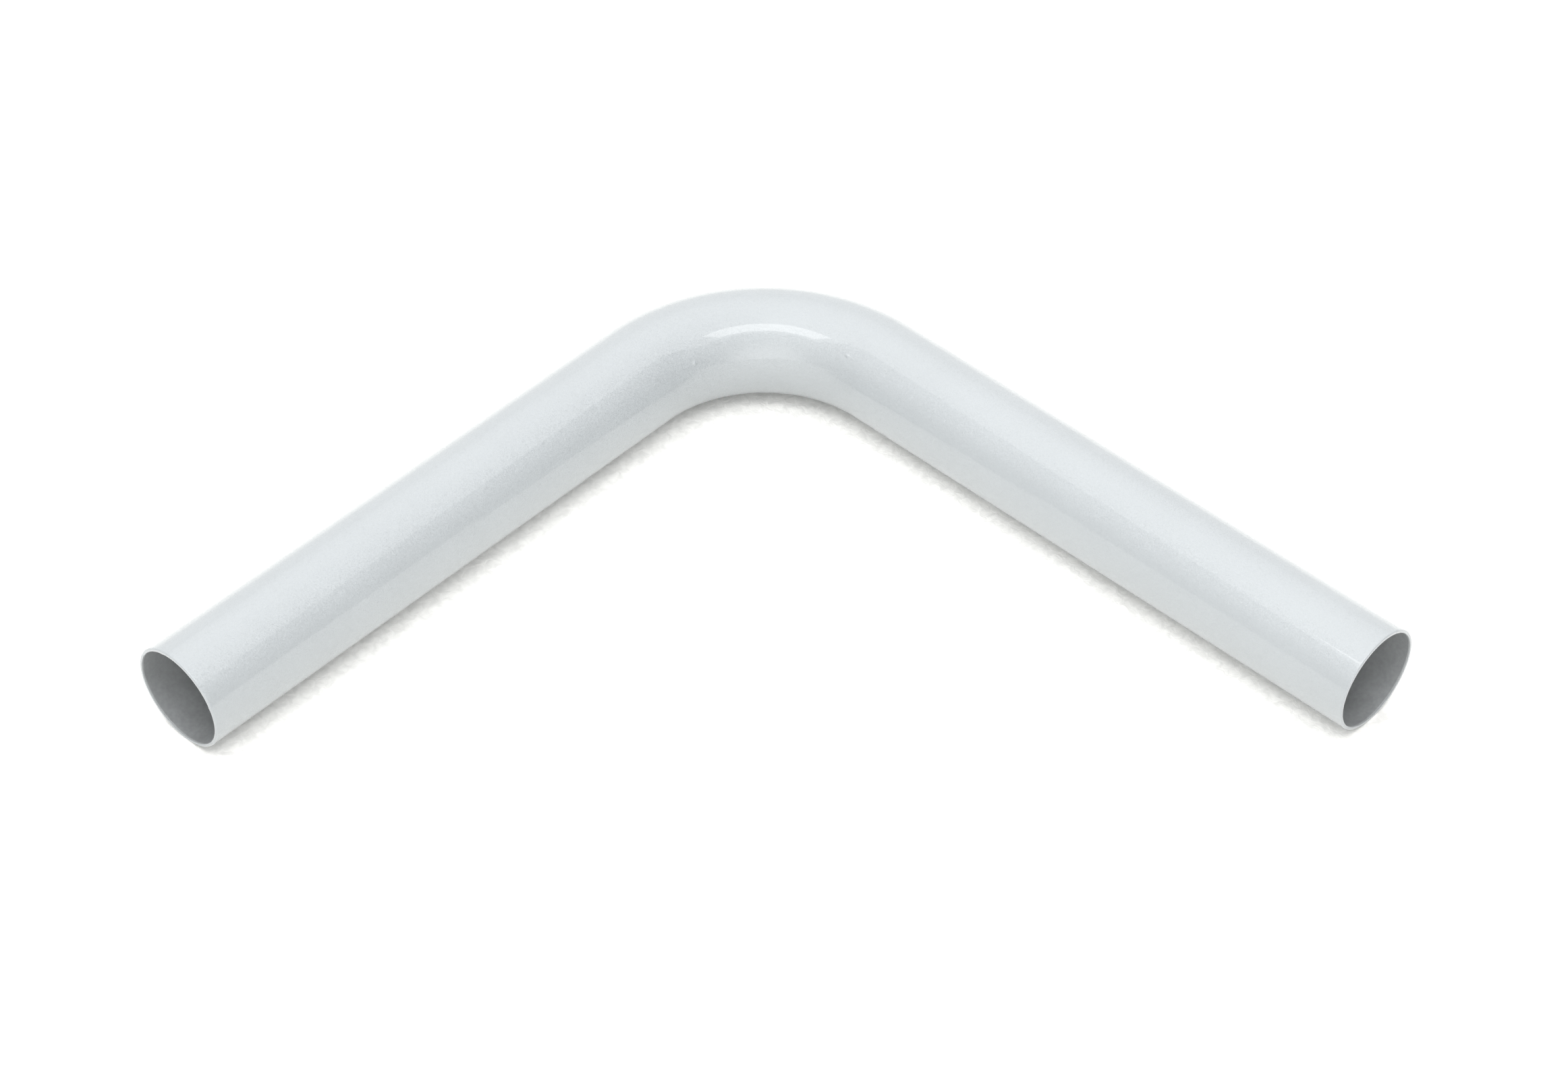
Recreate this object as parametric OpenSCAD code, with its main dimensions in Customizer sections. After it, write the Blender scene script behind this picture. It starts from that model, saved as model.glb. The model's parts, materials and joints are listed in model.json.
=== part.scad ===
// Bent round tube with a right-angle elbow and two plain cut ends, lying flat.
// The tube's wall and the coat bonded over it are two separate solids.
// Origin: the middle of the part's footprint, on the surface it lies on. One leg runs along -X, the other along -Y.

/* [Tube] */
// Outside diameter of the finished tube, over its coat
outside_d = 32; // [20:0.5:60]
// Thickness of the tube's own wall, under the coat
wall_t = 0.85; // [0.5:0.05:3]
// Thickness of the coat on the outside and over both cut ends
coat_t = 0.15; // [0.1:0.05:0.5]

/* [Bend] */
// Radius of the bend, to the centreline of the tube
bend_r = 51; // [35:0.5:120]

/* [Legs] */
// Length of the leg along -X, from the point where the two centrelines cross to the cut end
leg_x = 231; // [130:1:400]
// Length of the leg along -Y, from the point where the two centrelines cross to the cut end
leg_y = 235; // [130:1:400]

/* [Hidden] */
$fn = 96;

outside_r = outside_d / 2;
tube_r = outside_r - coat_t;
bore_r = tube_r - wall_t;
// How far the cutting bar for the bore runs past each cut end
overrun = 2;
// The point where the two centrelines cross
corner = [(leg_x - outside_r) / 2, (leg_y - outside_r) / 2, outside_r];

// One quarter turn of a round bar, centred on its own bend axis, from +X round to +Y
module quarter_bend(r) {
    rotate_extrude(angle = 90)
        translate([bend_r, 0])
            circle(r = r);
}

// A round bar that follows the tube's centreline and stops short of each cut end by inset
module bent_bar(r, inset) {
    translate(corner) {
        translate([inset - leg_x, 0, 0])
            rotate([0, 90, 0])
                cylinder(r = r, h = leg_x - bend_r - inset);
        translate([0, inset - leg_y, 0])
            rotate([-90, 0, 0])
                cylinder(r = r, h = leg_y - bend_r - inset);
        translate([-bend_r, -bend_r, 0])
            quarter_bend(r);
    }
}

// The tube's own wall, bent in one piece, open at both ends
module tube() {
    color("dimgray")
        difference() {
            bent_bar(tube_r, coat_t);
            bent_bar(bore_r, -overrun);
        }
}

// The coat bonded to the outside of the tube, wrapped over both cut ends as far as the bore
module coat() {
    color("gainsboro")
        difference() {
            bent_bar(outside_r, 0);
            bent_bar(tube_r, coat_t);
            bent_bar(bore_r, -overrun);
        }
}

tube();
coat();
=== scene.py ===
"""Looks of a bent conduit: a smooth grey tube wall under a light silver flake coat, on a white studio floor.

Everything is in metres, in the part's own frame: one leg runs to its mouth along -X, the other along -Y.
A point on the tube is given by its distance along the centreline, from the mouth of the leg along -X, and
its turn around the section, which is 0 on top and positive towards the inside of the bend.
"""

import json
import math

import bpy
import numpy as np
from mathutils import Matrix, Vector


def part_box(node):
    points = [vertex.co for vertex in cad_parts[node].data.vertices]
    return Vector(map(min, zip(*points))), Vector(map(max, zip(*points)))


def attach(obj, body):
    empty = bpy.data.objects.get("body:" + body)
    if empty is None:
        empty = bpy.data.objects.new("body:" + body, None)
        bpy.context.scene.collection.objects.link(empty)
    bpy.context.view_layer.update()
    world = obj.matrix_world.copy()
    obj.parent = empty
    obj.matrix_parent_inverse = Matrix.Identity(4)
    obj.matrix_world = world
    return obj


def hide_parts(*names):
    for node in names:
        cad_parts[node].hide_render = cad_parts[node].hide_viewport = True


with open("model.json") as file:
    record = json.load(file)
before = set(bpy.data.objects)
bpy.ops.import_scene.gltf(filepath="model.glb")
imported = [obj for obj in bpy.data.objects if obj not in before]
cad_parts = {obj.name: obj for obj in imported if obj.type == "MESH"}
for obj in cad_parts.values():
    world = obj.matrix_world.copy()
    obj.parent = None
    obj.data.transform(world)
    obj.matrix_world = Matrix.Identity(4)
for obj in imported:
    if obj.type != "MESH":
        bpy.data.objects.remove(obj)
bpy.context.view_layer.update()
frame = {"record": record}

# Sizes, all from the frame. CORNER is where the two legs' centrelines cross.
mounts = {mount["name"]: mount for mount in frame["record"]["mounts"]}
MOUTH_X = Vector(mounts["bore_x"]["pos_m"])
MOUTH_Y = Vector(mounts["bore_y"]["pos_m"])
CORNER = Vector((MOUTH_Y.x, MOUTH_X.y, MOUTH_X.z))
BORE_R = mounts["bore_x"]["dims"]["r_mm"] / 1000
OUTSIDE_R = mounts["outside_x"]["dims"]["r_mm"] / 1000
STRAIGHT_X = mounts["outside_x"]["dims"]["length_mm"] / 1000
STRAIGHT_Y = mounts["outside_y"]["dims"]["length_mm"] / 1000
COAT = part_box("coat")[1].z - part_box("tube")[1].z
TUBE_R = OUTSIDE_R - COAT
BEND_R = CORNER.x - MOUTH_X.x - STRAIGHT_X
BEND = BEND_R * math.pi / 2
LENGTH = STRAIGHT_X + BEND + STRAIGHT_Y

# Mesh density: points around each piece, and rings along each leg and the bend
COAT_AROUND = 400
WALL_AROUND = 224
LEG_RINGS = 12
BEND_RINGS = 96
HIDDEN_LEG_RINGS = 1
HIDDEN_BEND_RINGS = 48

# The rounding of the cut edges, and a narrow strip behind it that keeps its shading off the long faces
ROUND_STEPS = 6
OUTER_ROUND = 0.0004
INNER_ROUND = COAT
EDGE_STRIP = 0.0003

# Specks under the paint: distance along the tube, turn in degrees, height, and half length and half width
SPECKS = (
    (STRAIGHT_X + 0.0117, 58.0, 0.00024, 0.0006, 0.0005),
    (STRAIGHT_X + BEND - 0.0047, 45.0, 0.00022, 0.0010, 0.0004),
)
# Extra rings close to each speck, out to this distance on both sides
SPECK_REACH = 0.002
SPECK_RINGS = 20
# Shallow waves pressed into the inside of the bend where it meets each leg
WAVE_DEPTH = 0.00006
WAVE_LENGTH = 0.009
# Beads of paint standing into the bore on the lip of the mouth along -X: turn in degrees and height, and the
# turn from its middle, in degrees, over which each falls away
LIP_BEADS = ((-17.0, 0.00014), (67.0, 0.00018))
LIP_BEAD_WIDTH = 2.6

# The range of a noise texture that carries most of its change, spread over the shades and roughness below
NOISE_SPAN = (0.3, 0.7)

# The coat's silver paint. Each flake tilts the surface's normal by up to half of FLAKE_TILT along each axis.
# It also has a random number from 0 to 1. The numbers in BRIGHT_FLAKES make it more metallic, from the low to
# the high end of FLAKE_SHINE, and those below them leave it at the low end.
COAT_COLOUR = (0.327, 0.3475, 0.3592)
PAINT_ROUGHNESS = 0.45
FLAKE = 0.00022
FLAKE_TILT = 0.4
MIDDLE_GREY = (0.5, 0.5, 0.5)
BRIGHT_FLAKES = (0.6, 1.0)
FLAKE_SHINE = (0.05, 0.2)
CLOUD_SCALE = 45.0
CLOUD_SHADE = (0.985, 1.015)
# The clear gloss over the paint, and its orange peel
GLOSS_WEIGHT = 0.85
GLOSS_ROUGHNESS = 0.04
PEEL_SCALE = 260.0
PEEL_STRENGTH = 0.05
PEEL_HEIGHT = 0.00002

# The tube's bare wall in the bore: a tint times a shade
BORE_TINT = (0.965, 1.0, 1.02)
BORE_SHADE = (0.278, 0.308)
BORE_ROUGHNESS = (0.45, 0.55)
BORE_METALLIC = 0.2
MOTTLE_SCALE = 160.0
GRAIN_SCALE = 900.0
GRAIN_SHADE = (0.93, 1.07)

# The floor of white felted card
FLOOR_HALF = 4.0
FLOOR_COLOUR = (0.96, 0.955, 0.93)
FELT_SCALE = 420.0
FELT_DISTORTION = 0.8
FELT_SPAN = (0.35, 0.65)
FELT_SHADE = (0.88, 1.0)
FELT_STRENGTH = 0.5
FELT_HEIGHT = 0.0005

# The view: its azimuth and elevation, and its roll, in degrees, the distance from the point looked at, that
# point, and the lens and sensor in millimetres
VIEW = (-47.0053, 44.8228)
VIEW_ROLL = 0.2513
VIEW_DISTANCE = 1.1266
AIM = CORNER + Vector((-0.07158, -0.07815, 0))
LENS = 90.634
SENSOR_WIDTH = 36.0
FARTHEST_SEEN = 20.0

# The softboxes, as radiances, and as a height above the part's corner and distances reached level from it.
# The large one overhead is made of layers whose front edges are spread over OVERHEAD_FEATHER, so that its
# reflection has a soft front edge. The bright strip is under them, towards the camera.
SOFTBOX_HEIGHT = 0.9
OVERHEAD = 1.05
OVERHEAD_REACH = {"left": 0.6, "right": 0.8, "back": 0.61, "ahead": 1.0}
OVERHEAD_LAYERS = 6
OVERHEAD_FEATHER = 1.0
LAYER_GAP = 0.002
STRIP = 3.4
STRIP_REACH = {"left": 0.48, "right": 0.44, "back": 0.52, "ahead": -0.24}

# The room, as radiances. Each wall has a pair: at the floor, and from WALL_HEIGHT up, which is the sine of an
# elevation. Behind the camera there is one value.
WALL_HEIGHT = 0.6
WALL_AHEAD = (1.25, 1.5)
WALL_LEFT = (0.75, 1.45)
WALL_RIGHT = (0.5, 1.0)
ROOM_BEHIND = 5.2
# Where each gives way to the next, as cosines of the angle from the camera's right or from straight ahead.
# BEHIND_BLEND runs on past -1, so level and straight behind, the change is only a little over half made.
RIGHT_BLEND = (-0.1, 0.1)
AHEAD_BLEND = (0.0, 0.95)
BEHIND_BLEND = (-0.7, -1.25)


def centre_and_outward(distance):
    """The centreline's point at a distance, and the level direction there towards the outside of the bend."""
    if distance <= STRAIGHT_X:
        return MOUTH_X + Vector((distance, 0, 0)), Vector((0, 1, 0))
    if distance >= STRAIGHT_X + BEND:
        return MOUTH_Y + Vector((0, LENGTH - distance, 0)), Vector((1, 0, 0))
    angle = (distance - STRAIGHT_X) / BEND_R
    outward = Vector((math.sin(angle), math.cos(angle), 0))
    pivot = CORNER - Vector((BEND_R, BEND_R, 0))
    return pivot + BEND_R * outward, outward


def ring(distance, radius, around, relief=None):
    """The points of one ring of the tube; relief gives how far each stands above the true round surface."""
    centre, outward = centre_and_outward(distance)
    turns = np.arange(around) * (2 * math.pi / around)
    height = relief(distance, turns) if relief else 0.0
    reach = (radius + height) * np.ones(around)
    up = np.outer(reach * np.cos(turns), (0, 0, 1))
    across = np.outer(-reach * np.sin(turns), np.array(outward))
    return np.array(centre) + up + across


def bell(offset, width):
    """1 at no offset, falling smoothly to nothing over about twice the width."""
    return np.exp(-((offset / width) ** 2))


def turn_from(turns, degrees):
    """How far each turn is from an angle in degrees, from -pi to pi."""
    return (turns - math.radians(degrees) + math.pi) % (2 * math.pi) - math.pi


def outside_relief(distance, turns):
    """The height of the specks, and of the waves on the inside of the bend."""
    height = np.zeros(len(turns))
    for place, degrees, tall, half_length, half_width in SPECKS:
        across = OUTSIDE_R * turn_from(turns, degrees)
        height += tall * bell(distance - place, half_length) * bell(across, half_width)
    inside = np.clip(np.sin(turns), 0, 1) ** 2
    for tangent in (STRAIGHT_X, STRAIGHT_X + BEND):
        along = distance - tangent
        wave = bell(along, WAVE_LENGTH) * (1 + math.cos(2 * math.pi * along / WAVE_LENGTH)) / 2
        height -= WAVE_DEPTH * wave * inside
    return height


def lip_relief(distance, turns):
    """The beads of paint on the lip of one mouth, as a drop in radius that is the same at each distance."""
    height = np.zeros(len(turns))
    for degrees, tall in LIP_BEADS:
        height -= tall * bell(turn_from(turns, degrees), math.radians(LIP_BEAD_WIDTH))
    return height


def stations(leg_steps, bend_steps, close=False):
    """Distances along the tube between its rounded ends, with a number of steps in each leg and in the bend.

    With close, there are more of them around each speck.
    """
    start = np.linspace(OUTER_ROUND, STRAIGHT_X, leg_steps + 1)
    bend = np.linspace(STRAIGHT_X, STRAIGHT_X + BEND, bend_steps + 1)
    end = np.linspace(STRAIGHT_X + BEND, LENGTH - OUTER_ROUND, leg_steps + 1)
    strips = (OUTER_ROUND + EDGE_STRIP, LENGTH - OUTER_ROUND - EDGE_STRIP)
    places = [start, bend[1:], end[1:], strips]
    if close:
        reach = np.linspace(-SPECK_REACH, SPECK_REACH, SPECK_RINGS + 1)
        places += [speck[0] + reach for speck in SPECKS]
    return np.unique(np.concatenate(places))


def hidden_stations():
    """The coarser distances used where the coat lies on the tube."""
    return stations(HIDDEN_LEG_RINGS, HIDDEN_BEND_RINGS)[1:-1]


def quarter_round(radius):
    """(depth, drop) pairs from the end face round to the side, for an edge rounded at a radius."""
    angles = np.linspace(0, math.pi / 2, ROUND_STEPS + 1)
    return [(radius * (1 - math.cos(a)), radius * (1 - math.sin(a))) for a in angles]


def place_mesh(name, points, faces):
    """A new mesh object in the scene."""
    mesh = bpy.data.meshes.new(name)
    mesh.from_pydata(points, [], faces)
    piece = bpy.data.objects.new(name, mesh)
    bpy.context.scene.collection.objects.link(piece)
    return piece


def swept_shell(name, rings):
    """A closed shell from rings that run along its outside and back along its inside."""
    count = len(rings)
    around = len(rings[0])
    row = np.arange(around)
    after = (row + 1) % around
    faces = []
    for k in range(count):
        here = k * around
        there = (k + 1) % count * around
        faces.append(np.stack([here + row, here + after, there + after, there + row], axis=1))
    piece = place_mesh(name, np.concatenate(rings).tolist(), np.concatenate(faces).tolist())
    piece.data.polygons.foreach_set("use_smooth", [True] * len(piece.data.polygons))
    piece.data.update()
    return piece


def coat_piece():
    """The coat: the outside, rounded over both cut ends as far as the bore, and closed against the tube."""
    around = COAT_AROUND
    # The outer rounding's last ring is left out, because the stations begin there
    outer = quarter_round(OUTER_ROUND)[:-1]
    inner = quarter_round(INNER_ROUND)
    shown = stations(LEG_RINGS, BEND_RINGS, close=True)
    rings = [ring(depth, OUTSIDE_R - drop, around) for depth, drop in outer]
    rings += [ring(distance, OUTSIDE_R, around, outside_relief) for distance in shown]
    rings += [ring(LENGTH - depth, OUTSIDE_R - drop, around) for depth, drop in reversed(outer)]
    rings += [ring(LENGTH - depth, BORE_R + drop, around) for depth, drop in inner]
    rings += [ring(LENGTH - COAT, TUBE_R, around)]
    rings += [ring(distance, TUBE_R, around) for distance in reversed(hidden_stations())]
    rings += [ring(COAT, TUBE_R, around)]
    rings += [ring(depth, BORE_R + drop, around, lip_relief) for depth, drop in reversed(inner)]
    return swept_shell("coat_shell", rings)


def tube_piece():
    """The tube's own wall: its outside is under the coat, and its bore shows in both mouths."""
    around = WALL_AROUND
    shown = stations(LEG_RINGS, BEND_RINGS)[1:-1]
    rings = [ring(COAT, TUBE_R, around)]
    rings += [ring(distance, TUBE_R, around) for distance in hidden_stations()]
    rings += [ring(LENGTH - COAT, TUBE_R, around), ring(LENGTH - COAT, BORE_R, around)]
    rings += [ring(distance, BORE_R, around) for distance in reversed(shown)]
    rings += [ring(COAT, BORE_R, around)]
    return swept_shell("tube_wall", rings)


class Nodes:
    """A short way to add and link the nodes of a material or a world."""

    def __init__(self, tree):
        self.tree = tree
        tree.nodes.clear()

    def add(self, kind, inputs=None, **settings):
        """A new node, with each input, by name or number, linked to a node's output or set to a value."""
        node = self.tree.nodes.new("ShaderNode" + kind)
        for key, value in settings.items():
            setattr(node, key, value)
        for key, value in (inputs or {}).items():
            if isinstance(value, bpy.types.NodeSocket):
                self.tree.links.new(value, node.inputs[key])
            else:
                node.inputs[key].default_value = value
        return node

    def noise(self, place, scale, detail, distortion=0.0):
        """A noise texture's value."""
        inputs = {"Vector": place, "Scale": scale, "Detail": detail, "Distortion": distortion}
        return self.add("TexNoise", inputs).outputs["Fac"]

    def vector(self, operation, first, second=None, result="Vector"):
        """The result of an operation on one or two vectors."""
        inputs = {0: first} if second is None else {0: first, 1: second}
        return self.add("VectorMath", inputs, operation=operation).outputs[result]

    def scaled(self, vector, factor):
        """A vector or a colour times a number."""
        return self.add("VectorMath", {0: vector, "Scale": factor}, operation="SCALE").outputs["Vector"]

    def spread(self, value, low, high, at_low, at_high, curve="LINEAR"):
        """A value mapped evenly from one range to another, and held at the ends."""
        inputs = {"Value": value, "From Min": low, "From Max": high, "To Min": at_low, "To Max": at_high}
        return self.add("MapRange", inputs, interpolation_type=curve).outputs["Result"]

    def eased(self, value, low, high, at_low=0.0, at_high=1.0):
        """A value mapped from one range to another as a smooth step."""
        return self.spread(value, low, high, at_low, at_high, curve="SMOOTHSTEP")

    def mix(self, share, first, second):
        """The first value where the share is 0, and the second where it is 1."""
        return self.add("Mix", {0: share, 2: first, 3: second}).outputs[0]


def new_material(name):
    """An empty node material, and its nodes."""
    material = bpy.data.materials.new(name)
    material.use_nodes = True
    return material, Nodes(material.node_tree)


def coat_material():
    """Silver paint: tiny tilted flakes under a smooth clear gloss with a faint orange-peel ripple."""
    material, nodes = new_material("silver_flake_paint")
    place = nodes.add("TexCoord").outputs["Object"]
    flakes = nodes.add("TexVoronoi", {"Vector": place, "Scale": 1 / FLAKE}).outputs["Color"]
    lean = nodes.scaled(nodes.vector("SUBTRACT", flakes, MIDDLE_GREY), FLAKE_TILT)
    normal = nodes.add("NewGeometry").outputs["Normal"]
    tilted = nodes.vector("NORMALIZE", nodes.vector("ADD", normal, lean))
    flake_number = nodes.add("SeparateColor", {0: flakes}).outputs[0]
    shine = nodes.spread(flake_number, *BRIGHT_FLAKES, *FLAKE_SHINE)
    shade = nodes.spread(nodes.noise(place, CLOUD_SCALE, detail=3.0), *NOISE_SPAN, *CLOUD_SHADE)
    peel = nodes.noise(place, PEEL_SCALE, detail=1.0)
    ripple = nodes.add("Bump", {"Height": peel, "Strength": PEEL_STRENGTH, "Distance": PEEL_HEIGHT})
    paint = {
        "Base Color": nodes.scaled(COAT_COLOUR, shade),
        "Metallic": shine,
        "Roughness": PAINT_ROUGHNESS,
        "Normal": tilted,
        "Coat Weight": GLOSS_WEIGHT,
        "Coat Roughness": GLOSS_ROUGHNESS,
        "Coat Normal": ripple.outputs["Normal"],
    }
    shader = nodes.add("BsdfPrincipled", paint)
    nodes.add("OutputMaterial", {"Surface": shader.outputs["BSDF"]})
    return material


def bore_material():
    """The tube's bare wall: smooth, matt, slightly cool grey, with fine grain over faint mottling."""
    material, nodes = new_material("bare_tube_wall")
    place = nodes.add("TexCoord").outputs["Object"]
    mottle = nodes.noise(place, MOTTLE_SCALE, detail=4.0)
    grain = nodes.noise(place, GRAIN_SCALE, detail=2.0)
    mottled = nodes.spread(mottle, *NOISE_SPAN, *BORE_SHADE)
    fleck = nodes.spread(grain, *NOISE_SPAN, *GRAIN_SHADE)
    shade = nodes.add("Math", {0: mottled, 1: fleck}, operation="MULTIPLY").outputs["Value"]
    bare = {
        "Base Color": nodes.scaled(BORE_TINT, shade),
        "Metallic": BORE_METALLIC,
        "Roughness": nodes.spread(mottle, *NOISE_SPAN, *BORE_ROUGHNESS),
    }
    shader = nodes.add("BsdfPrincipled", bare)
    nodes.add("OutputMaterial", {"Surface": shader.outputs["BSDF"]})
    return material


def floor_material():
    """White felted card, matt, with a fine uneven nap."""
    material, nodes = new_material("floor_white")
    place = nodes.add("TexCoord").outputs["Object"]
    felt = nodes.noise(place, FELT_SCALE, detail=4.0, distortion=FELT_DISTORTION)
    rough = nodes.add("Bump", {"Height": felt, "Strength": FELT_STRENGTH, "Distance": FELT_HEIGHT})
    shade = nodes.spread(felt, *FELT_SPAN, *FELT_SHADE)
    card = {"Color": nodes.scaled(FLOOR_COLOUR, shade), "Normal": rough.outputs["Normal"]}
    shader = nodes.add("BsdfDiffuse", card)
    nodes.add("OutputMaterial", {"Surface": shader.outputs["BSDF"]})
    return material


def floor():
    """A plain white floor, which isn't part of the object."""
    half = FLOOR_HALF
    corners = [(-half, -half, 0), (half, -half, 0), (half, half, 0), (-half, half, 0)]
    piece = place_mesh("floor", corners, [(0, 1, 2, 3)])
    piece.data.materials.append(floor_material())


def view_axes():
    """The directions to the camera's right, up in its picture before the roll, and back towards it."""
    azimuth, elevation = (math.radians(v) for v in VIEW)
    level = math.cos(elevation)
    back = Vector((math.sin(azimuth) * level, -math.cos(azimuth) * level, math.sin(elevation)))
    right = Vector((math.cos(azimuth), math.sin(azimuth), 0))
    return right, back.cross(right), back


def ahead_and_right():
    """The level directions away from the camera and to its right."""
    right, _, back = view_axes()
    ahead = Vector((-back.x, -back.y, 0)).normalized()
    return ahead, right


def camera():
    """The camera at the photo's angle."""
    right, up, back = view_axes()
    roll = math.radians(VIEW_ROLL)
    rolled_right = right * math.cos(roll) + up * math.sin(roll)
    rolled_up = up * math.cos(roll) - right * math.sin(roll)
    data = bpy.data.cameras.new("camera")
    data.sensor_width = SENSOR_WIDTH
    data.lens = LENS
    data.clip_end = FARTHEST_SEEN
    viewer = bpy.data.objects.new("camera", data)
    pose = Matrix((rolled_right, rolled_up, back)).transposed().to_4x4()
    pose.translation = AIM + back * VIEW_DISTANCE
    viewer.matrix_world = pose
    bpy.context.scene.collection.objects.link(viewer)
    bpy.context.scene.camera = viewer


def softbox(name, reach, drop, radiance):
    """A rectangular soft light facing down, its length to the camera's right, as bright as its radiance."""
    ahead, right = ahead_and_right()
    light = bpy.data.lights.new(name, "AREA")
    light.shape = "RECTANGLE"
    light.size = reach["left"] + reach["right"]
    light.size_y = reach["back"] + reach["ahead"]
    light.energy = radiance * math.pi * light.size * light.size_y
    lamp = bpy.data.objects.new(name, light)
    shift_right = right * (reach["right"] - reach["left"]) / 2
    shift_ahead = ahead * (reach["ahead"] - reach["back"]) / 2
    lamp.location = CORNER + shift_right + shift_ahead + Vector((0, 0, SOFTBOX_HEIGHT - drop))
    lamp.rotation_euler = (0, 0, math.radians(VIEW[0]))
    bpy.context.scene.collection.objects.link(lamp)


def softboxes():
    """The overhead softbox, in layers, and the strip under it."""
    for layer in range(OVERHEAD_LAYERS):
        step = layer / (OVERHEAD_LAYERS - 1) - 0.5
        reach = dict(OVERHEAD_REACH, ahead=OVERHEAD_REACH["ahead"] + OVERHEAD_FEATHER * step)
        softbox("overhead_%d" % layer, reach, LAYER_GAP * layer, OVERHEAD / OVERHEAD_LAYERS)
    softbox("strip", STRIP_REACH, LAYER_GAP * OVERHEAD_LAYERS, STRIP)


def room():
    """The walls of the room as a world light: bright ahead and behind, darker to the sides."""
    ahead, right = ahead_and_right()
    world = bpy.data.worlds.new("studio")
    world.use_nodes = True
    bpy.context.scene.world = world
    nodes = Nodes(world.node_tree)
    direction = nodes.add("TexCoord").outputs["Generated"]
    forward = nodes.vector("DOT_PRODUCT", direction, ahead, result="Value")
    sideways = nodes.vector("DOT_PRODUCT", direction, right, result="Value")
    up = nodes.add("SeparateXYZ", {0: direction}).outputs["Z"]
    left_wall = nodes.eased(up, 0.0, WALL_HEIGHT, *WALL_LEFT)
    right_wall = nodes.eased(up, 0.0, WALL_HEIGHT, *WALL_RIGHT)
    wall_ahead = nodes.eased(up, 0.0, WALL_HEIGHT, *WALL_AHEAD)
    side_walls = nodes.mix(nodes.eased(sideways, *RIGHT_BLEND), left_wall, right_wall)
    walls = nodes.mix(nodes.eased(forward, *AHEAD_BLEND), side_walls, wall_ahead)
    strength = nodes.mix(nodes.eased(forward, *BEHIND_BLEND), walls, ROOM_BEHIND)
    light = nodes.add("Background", {"Color": (1, 1, 1, 1), "Strength": strength})
    nodes.add("OutputWorld", {"Surface": light.outputs["Background"]})


def studio():
    """All the light, and the view transform that leaves the colours as they are."""
    softboxes()
    room()
    bpy.context.scene.view_settings.view_transform = "Standard"


camera()
studio()
floor()

coat = coat_piece()
coat.data.materials.append(coat_material())
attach(coat, "root")
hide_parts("coat")

wall = tube_piece()
wall.data.materials.append(bore_material())
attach(wall, "root")
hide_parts("tube")
